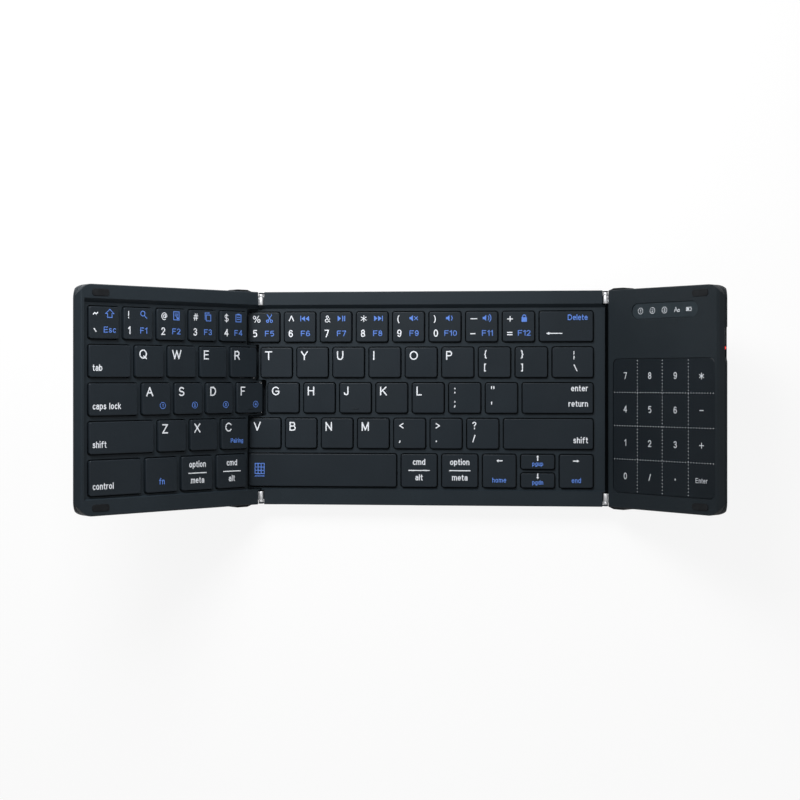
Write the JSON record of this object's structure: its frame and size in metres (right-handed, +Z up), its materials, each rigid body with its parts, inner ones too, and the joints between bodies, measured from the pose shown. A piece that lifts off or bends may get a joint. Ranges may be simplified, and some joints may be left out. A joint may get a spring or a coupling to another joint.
{
  "type": "folding keyboard",
  "caption": "Pocket keyboard in hinged panels: a key panel with a key wing on one side and a touchpad wing on the other, partly folded up, with keys that press.",
  "frame": {"origin": "on the surface it rests on, under the middle of the whole keyboard with its wings as they stand", "axes": "+X along the key rows towards the touchpad wing, +Y away from the typist, +Z up"},
  "size_m": [0.2786, 0.1012, 0.0768],
  "materials": {
    "shell_plastic": "fine matte texture, blue-black",
    "key_plastic": "smooth matte, blue-black, with printed legends",
    "touch_surface": "satin touch surface with a printed number pad",
    "window_plastic": "smoked, with printed signs",
    "foot_rubber": "matt black rubber",
    "dome_rubber": "milky silicone rubber",
    "link_plastic": "white moulded plastic",
    "plate_steel": "pressed sheet, zinc plated",
    "switch_film": "printed polyester film",
    "hinge_steel": "bright turned steel",
    "screw_steel": "black oxide",
    "circuit_board": "solder mask",
    "battery_foil": "laminated pouch foil",
    "light_lens": "moulded lens",
    "port_metal": "drawn steel shell"
  },
  "bodies": {
    "center_panel": {"center_bottom_cover": "shell_plastic", "center_top_frame": "shell_plastic", "center_key_plate": "plate_steel", "center_membrane": "switch_film", "center_domes": "dome_rubber", "center_scissors": "link_plastic", "center_stabilizers": "hinge_steel", "center_screws": "screw_steel", "center_feet": "foot_rubber", "center_hinge_leaves": "hinge_steel", "hinge_pins": "hinge_steel"},
    "left_wing": {"left_bottom_cover": "shell_plastic", "left_top_frame": "shell_plastic", "left_key_plate": "plate_steel", "left_membrane": "switch_film", "left_domes": "dome_rubber", "left_scissors": "link_plastic", "left_stabilizers": "hinge_steel", "left_screws": "screw_steel", "left_feet": "foot_rubber", "left_bumpers": "foot_rubber", "left_hinge_leaves": "hinge_steel"},
    "right_wing": {"right_bottom_cover": "shell_plastic", "right_top_frame": "shell_plastic", "right_screws": "screw_steel", "right_feet": "foot_rubber", "right_bumpers": "foot_rubber", "right_hinge_leaves": "hinge_steel", "touchpad": "touch_surface", "touch_board": "circuit_board", "main_board": "circuit_board", "battery": "battery_foil", "indicator_window": "window_plastic", "indicator_lights": "light_lens", "charge_port": "port_metal"},
    "left_number_keys": {"left_number_keys": "key_plastic"},
    "tab_key": {"tab_key": "key_plastic"},
    "left_top_letter_keys": {"left_top_letter_keys": "key_plastic"},
    "caps_lock_key": {"caps_lock_key": "key_plastic"},
    "left_home_letter_keys": {"left_home_letter_keys": "key_plastic"},
    "left_shift_key": {"left_shift_key": "key_plastic"},
    "left_bottom_letter_keys": {"left_bottom_letter_keys": "key_plastic"},
    "control_key": {"control_key": "key_plastic"},
    "fn_key": {"fn_key": "key_plastic"},
    "left_option_key": {"left_option_key": "key_plastic"},
    "left_command_key": {"left_command_key": "key_plastic"},
    "number_keys": {"number_keys": "key_plastic"},
    "backspace_key": {"backspace_key": "key_plastic"},
    "top_letter_keys": {"top_letter_keys": "key_plastic"},
    "backslash_key": {"backslash_key": "key_plastic"},
    "home_letter_keys": {"home_letter_keys": "key_plastic"},
    "enter_key": {"enter_key": "key_plastic"},
    "bottom_letter_keys": {"bottom_letter_keys": "key_plastic"},
    "right_shift_key": {"right_shift_key": "key_plastic"},
    "space_key": {"space_key": "key_plastic"},
    "right_modifier_keys": {"right_modifier_keys": "key_plastic"},
    "left_arrow_key": {"left_arrow_key": "key_plastic"},
    "up_arrow_key": {"up_arrow_key": "key_plastic"},
    "down_arrow_key": {"down_arrow_key": "key_plastic"},
    "right_arrow_key": {"right_arrow_key": "key_plastic"}
  },
  "joints": [
    {"name": "left_fold", "type": "hinge", "parent": "center_panel", "child": "left_wing", "pos_m": [-0.07037, 0, 0.0077], "axis": [0, 1, 0], "range_deg": [-47.2, 132.8]},
    {"name": "right_fold", "type": "hinge", "parent": "center_panel", "child": "right_wing", "pos_m": [0.08983, 0, 0.0077], "axis": [0, -1, 0], "range_deg": [-43.5, 136.5]},
    {"name": "left_number_keys_press", "type": "slide", "parent": "left_wing", "child": "left_number_keys", "axis": [-0.7337, 0, -0.6794], "range_m": [0, 0.0012], "stiffness_N_per_m": 400, "springref_m": -0.0003},
    {"name": "tab_key_press", "type": "slide", "parent": "left_wing", "child": "tab_key", "axis": [-0.7337, 0, -0.6794], "range_m": [0, 0.0012], "stiffness_N_per_m": 400, "springref_m": -0.0003},
    {"name": "left_top_letter_keys_press", "type": "slide", "parent": "left_wing", "child": "left_top_letter_keys", "axis": [-0.7337, 0, -0.6794], "range_m": [0, 0.0012], "stiffness_N_per_m": 400, "springref_m": -0.0003},
    {"name": "caps_lock_key_press", "type": "slide", "parent": "left_wing", "child": "caps_lock_key", "axis": [-0.7337, 0, -0.6794], "range_m": [0, 0.0012], "stiffness_N_per_m": 400, "springref_m": -0.0003},
    {"name": "left_home_letter_keys_press", "type": "slide", "parent": "left_wing", "child": "left_home_letter_keys", "axis": [-0.7337, 0, -0.6794], "range_m": [0, 0.0012], "stiffness_N_per_m": 400, "springref_m": -0.0003},
    {"name": "left_shift_key_press", "type": "slide", "parent": "left_wing", "child": "left_shift_key", "axis": [-0.7337, 0, -0.6794], "range_m": [0, 0.0012], "stiffness_N_per_m": 400, "springref_m": -0.0003},
    {"name": "left_bottom_letter_keys_press", "type": "slide", "parent": "left_wing", "child": "left_bottom_letter_keys", "axis": [-0.7337, 0, -0.6794], "range_m": [0, 0.0012], "stiffness_N_per_m": 400, "springref_m": -0.0003},
    {"name": "control_key_press", "type": "slide", "parent": "left_wing", "child": "control_key", "axis": [-0.7337, 0, -0.6794], "range_m": [0, 0.0012], "stiffness_N_per_m": 400, "springref_m": -0.0003},
    {"name": "fn_key_press", "type": "slide", "parent": "left_wing", "child": "fn_key", "axis": [-0.7337, 0, -0.6794], "range_m": [0, 0.0012], "stiffness_N_per_m": 400, "springref_m": -0.0003},
    {"name": "left_option_key_press", "type": "slide", "parent": "left_wing", "child": "left_option_key", "axis": [-0.7337, 0, -0.6794], "range_m": [0, 0.0012], "stiffness_N_per_m": 400, "springref_m": -0.0003},
    {"name": "left_command_key_press", "type": "slide", "parent": "left_wing", "child": "left_command_key", "axis": [-0.7337, 0, -0.6794], "range_m": [0, 0.0012], "stiffness_N_per_m": 400, "springref_m": -0.0003},
    {"name": "number_keys_press", "type": "slide", "parent": "center_panel", "child": "number_keys", "axis": [0, 0, -1], "range_m": [0, 0.0012], "stiffness_N_per_m": 400, "springref_m": -0.0003},
    {"name": "backspace_key_press", "type": "slide", "parent": "center_panel", "child": "backspace_key", "axis": [0, 0, -1], "range_m": [0, 0.0012], "stiffness_N_per_m": 400, "springref_m": -0.0003},
    {"name": "top_letter_keys_press", "type": "slide", "parent": "center_panel", "child": "top_letter_keys", "axis": [0, 0, -1], "range_m": [0, 0.0012], "stiffness_N_per_m": 400, "springref_m": -0.0003},
    {"name": "backslash_key_press", "type": "slide", "parent": "center_panel", "child": "backslash_key", "axis": [0, 0, -1], "range_m": [0, 0.0012], "stiffness_N_per_m": 400, "springref_m": -0.0003},
    {"name": "home_letter_keys_press", "type": "slide", "parent": "center_panel", "child": "home_letter_keys", "axis": [0, 0, -1], "range_m": [0, 0.0012], "stiffness_N_per_m": 400, "springref_m": -0.0003},
    {"name": "enter_key_press", "type": "slide", "parent": "center_panel", "child": "enter_key", "axis": [0, 0, -1], "range_m": [0, 0.0012], "stiffness_N_per_m": 400, "springref_m": -0.0003},
    {"name": "bottom_letter_keys_press", "type": "slide", "parent": "center_panel", "child": "bottom_letter_keys", "axis": [0, 0, -1], "range_m": [0, 0.0012], "stiffness_N_per_m": 400, "springref_m": -0.0003},
    {"name": "right_shift_key_press", "type": "slide", "parent": "center_panel", "child": "right_shift_key", "axis": [0, 0, -1], "range_m": [0, 0.0012], "stiffness_N_per_m": 400, "springref_m": -0.0003},
    {"name": "space_key_press", "type": "slide", "parent": "center_panel", "child": "space_key", "axis": [0, 0, -1], "range_m": [0, 0.0012], "stiffness_N_per_m": 400, "springref_m": -0.0003},
    {"name": "right_modifier_keys_press", "type": "slide", "parent": "center_panel", "child": "right_modifier_keys", "axis": [0, 0, -1], "range_m": [0, 0.0012], "stiffness_N_per_m": 400, "springref_m": -0.0003},
    {"name": "left_arrow_key_press", "type": "slide", "parent": "center_panel", "child": "left_arrow_key", "axis": [0, 0, -1], "range_m": [0, 0.0012], "stiffness_N_per_m": 400, "springref_m": -0.0003},
    {"name": "up_arrow_key_press", "type": "slide", "parent": "center_panel", "child": "up_arrow_key", "axis": [0, 0, -1], "range_m": [0, 0.0012], "stiffness_N_per_m": 400, "springref_m": -0.0003},
    {"name": "down_arrow_key_press", "type": "slide", "parent": "center_panel", "child": "down_arrow_key", "axis": [0, 0, -1], "range_m": [0, 0.0012], "stiffness_N_per_m": 400, "springref_m": -0.0003},
    {"name": "right_arrow_key_press", "type": "slide", "parent": "center_panel", "child": "right_arrow_key", "axis": [0, 0, -1], "range_m": [0, 0.0012], "stiffness_N_per_m": 400, "springref_m": -0.0003, "deforming": ["center_domes", "center_scissors", "center_stabilizers", "left_domes", "left_scissors", "left_stabilizers"]}
  ]
}
